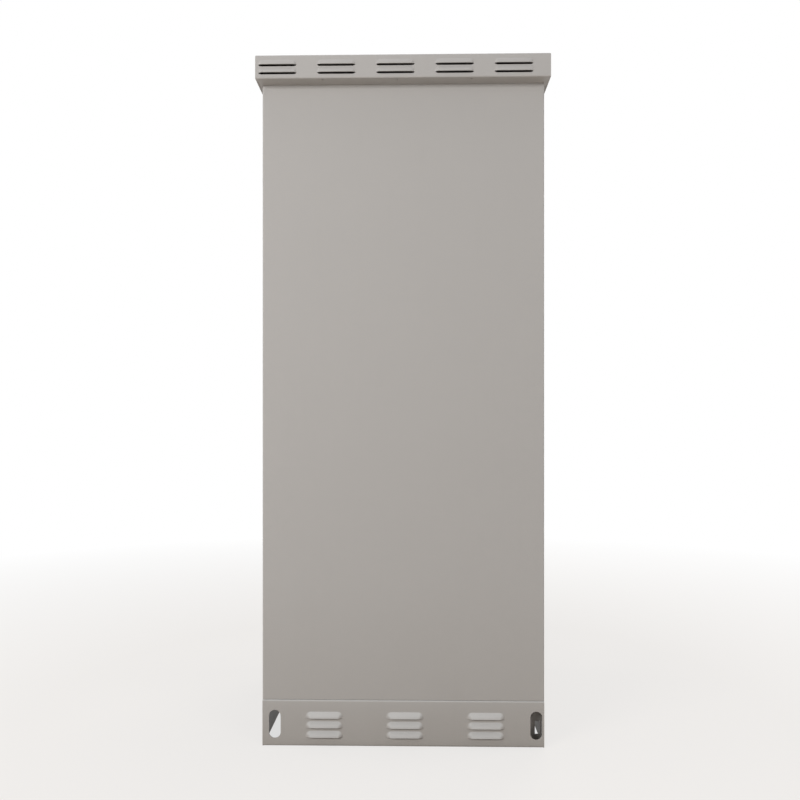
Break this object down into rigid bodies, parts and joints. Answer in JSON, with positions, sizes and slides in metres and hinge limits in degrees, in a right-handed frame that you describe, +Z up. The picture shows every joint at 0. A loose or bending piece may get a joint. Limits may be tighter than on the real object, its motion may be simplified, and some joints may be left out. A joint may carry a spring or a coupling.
{
  "type": "roadside utility cabinet",
  "caption": "Tall outdoor sheet-metal equipment cabinet with a louvred roof cap, plain walls, louvred plinth with slots, hinged door and rod lock.",
  "frame": {"origin": "on the ground at the centre of the four anchor holes and of the body's plan", "axes": "+Z up, +Y out of the door, the plain rear wall shown in the picture faces -Y, hinges on +X"},
  "size_m": [0.6203, 0.687, 1.4575],
  "materials": {
    "painted_sheet": "light warm grey powder coat with a fine orange peel",
    "galvanised_sheet": "zinc coated sheet",
    "plated_steel": "zinc plated",
    "black_plastic": "fine grained",
    "filter_mat": "fibrous mat",
    "gasket_rubber": "foamed, matt",
    "cylinder_metal": "satin chrome",
    "copper": "bare bar",
    "post_resin": "moulded resin",
    "grey_plastic": "smooth moulding"
  },
  "bodies": {
    "cabinet": {"body_shell": "painted_sheet", "door_header": "painted_sheet", "door_sill": "painted_sheet", "roof_cap": "painted_sheet", "top_plate": "painted_sheet", "plinth_front": "painted_sheet", "plinth_rear": "painted_sheet", "plinth_left": "painted_sheet", "plinth_right": "painted_sheet", "plinth_gusset_rear": "painted_sheet", "plinth_gusset_front": "painted_sheet", "roof_hat_left": "galvanised_sheet", "roof_hat_right": "galvanised_sheet", "bottom_plate": "galvanised_sheet", "gland_plate": "galvanised_sheet", "filter_cover": "galvanised_sheet", "depth_rail_lower_left": "galvanised_sheet", "depth_rail_upper_left": "galvanised_sheet", "depth_rail_lower_right": "galvanised_sheet", "depth_rail_upper_right": "galvanised_sheet", "upright_front_left": "galvanised_sheet", "upright_front_right": "galvanised_sheet", "upright_rear_left": "galvanised_sheet", "upright_rear_right": "galvanised_sheet", "shelf": "galvanised_sheet", "floor_bolts": "plated_steel", "hinge_body_leaves": "plated_steel", "hinge_pins": "plated_steel", "cable_glands": "black_plastic", "fan_frames": "black_plastic", "intake_filter": "filter_mat", "earth_bar": "copper", "earth_posts": "post_resin"},
    "door": {"door_panel": "painted_sheet", "door_gasket": "gasket_rubber", "lock_stiffener": "galvanised_sheet", "hinge_stiffener": "galvanised_sheet", "rod_guides": "galvanised_sheet", "handle_base": "black_plastic", "base_screws": "plated_steel", "hinge_door_leaves": "plated_steel", "document_pocket": "grey_plastic"},
    "handle_spindle": {"spindle": "plated_steel", "lock_cam": "plated_steel", "lever_pin": "plated_steel"},
    "handle_lever": {"lever": "black_plastic"},
    "key_cylinder": {"lock_cylinder": "cylinder_metal"},
    "rod_up": {"upper_rod": "plated_steel"},
    "rod_down": {"lower_rod": "plated_steel"},
    "fan_left": {"fan_impeller_left": "black_plastic"},
    "fan_right": {"fan_impeller_right": "black_plastic"}
  },
  "joints": [
    {"name": "door_hinge", "type": "hinge", "parent": "cabinet", "child": "door", "pos_m": [0.3063, 0.266, 0.755], "axis": [0, 0, -1], "range_deg": [0, 135]},
    {"name": "handle_turn", "type": "hinge", "parent": "door", "child": "handle_spindle", "pos_m": [-0.24, 0.3, 0.84], "axis": [0, 1, 0], "range_deg": [0, 90]},
    {"name": "lever_lift", "type": "hinge", "parent": "handle_spindle", "child": "handle_lever", "pos_m": [-0.24, 0.3141, 0.84], "axis": [0, 0, 1], "range_deg": [0, 25]},
    {"name": "key_turn", "type": "hinge", "parent": "handle_lever", "child": "key_cylinder", "pos_m": [-0.128, 0.3141, 0.84], "axis": [0, 1, 0], "range_deg": [0, 90]},
    {"name": "rod_up_slide", "type": "slide", "parent": "door", "child": "rod_up", "axis": [0, 0, 1], "range_m": [0, 0.018]},
    {"name": "rod_down_slide", "type": "slide", "parent": "door", "child": "rod_down", "axis": [0, 0, -1], "range_m": [0, 0.018]},
    {"name": "fan_left_spin", "type": "hinge", "parent": "cabinet", "child": "fan_left", "pos_m": [-0.12, 0, 1.39], "axis": [0, 0, 1], "continuous": true},
    {"name": "fan_right_spin", "type": "hinge", "parent": "cabinet", "child": "fan_right", "pos_m": [0.12, 0, 1.39], "axis": [0, 0, 1], "continuous": true}
  ],
  "couplings": [
    {"joint": "rod_up_slide", "follows": "handle_turn", "m_per_rad": 0.01145},
    {"joint": "rod_down_slide", "follows": "handle_turn", "m_per_rad": 0.01145}
  ]
}
